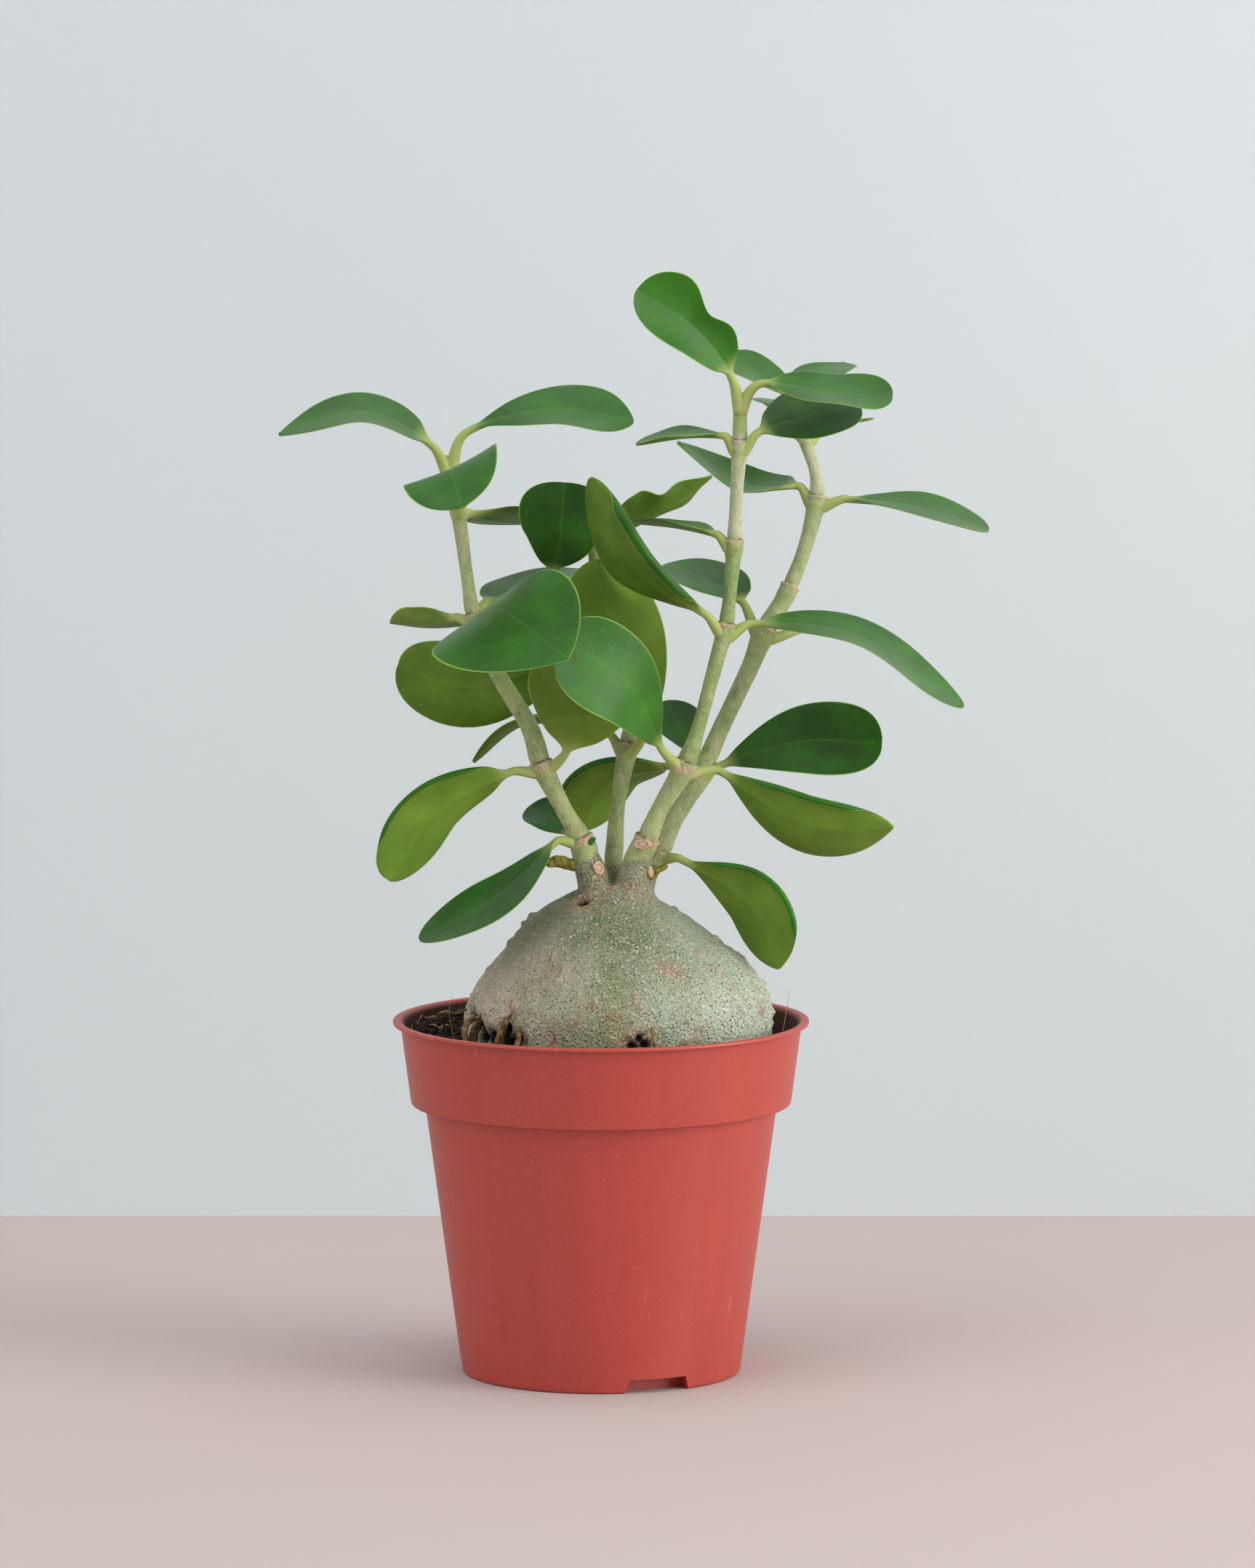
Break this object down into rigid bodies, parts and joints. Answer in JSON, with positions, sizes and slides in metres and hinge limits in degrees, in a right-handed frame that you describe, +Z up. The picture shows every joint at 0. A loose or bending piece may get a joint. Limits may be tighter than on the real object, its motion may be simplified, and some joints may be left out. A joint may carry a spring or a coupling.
{
  "type": "potted ant plant",
  "caption": "Ant plant with a swollen grey-green caudex, upright stems and leathery oval leaves, growing in a round tapered plastic nursery pot.",
  "frame": {"origin": "centre of the pot's underside, on the surface it stands on", "axes": "+Z up along the pot's axis, -Y towards the side the picture shows, +X to that side's right"},
  "size_m": [0.2034, 0.1255, 0.3193],
  "materials": {
    "pot_plastic": "satin",
    "soil": "raw",
    "caudex_skin": "matte",
    "stem_bark": "matte",
    "root_bark": "matte",
    "leaf": "satin"
  },
  "bodies": {
    "root": {"caudex": "caudex_skin", "leaf_a1": "leaf", "leaf_a10": "leaf", "leaf_a11": "leaf", "leaf_a2": "leaf", "leaf_a3": "leaf", "leaf_a4": "leaf", "leaf_a5": "leaf", "leaf_a6": "leaf", "leaf_a7": "leaf", "leaf_a8": "leaf", "leaf_a9": "leaf", "leaf_b1": "leaf", "leaf_b2": "leaf", "leaf_b3": "leaf", "leaf_b4": "leaf", "leaf_b5": "leaf", "leaf_c1": "leaf", "leaf_c10": "leaf", "leaf_c2": "leaf", "leaf_c3": "leaf", "leaf_c4": "leaf", "leaf_c5": "leaf", "leaf_c6": "leaf", "leaf_c7": "leaf", "leaf_c8": "leaf", "leaf_c9": "leaf", "leaf_d1": "leaf", "leaf_d10": "leaf", "leaf_d11": "leaf", "leaf_d2": "leaf", "leaf_d3": "leaf", "leaf_d4": "leaf", "leaf_d5": "leaf", "leaf_d6": "leaf", "leaf_d7": "leaf", "leaf_d8": "leaf", "leaf_d9": "leaf", "pot": "pot_plastic", "root_1": "root_bark", "root_2": "root_bark", "root_3": "root_bark", "soil": "soil", "stem_a": "stem_bark", "stem_b": "stem_bark", "stem_c": "stem_bark", "stem_d": "stem_bark", "stub": "root_bark"}
  },
  "joints": []
}
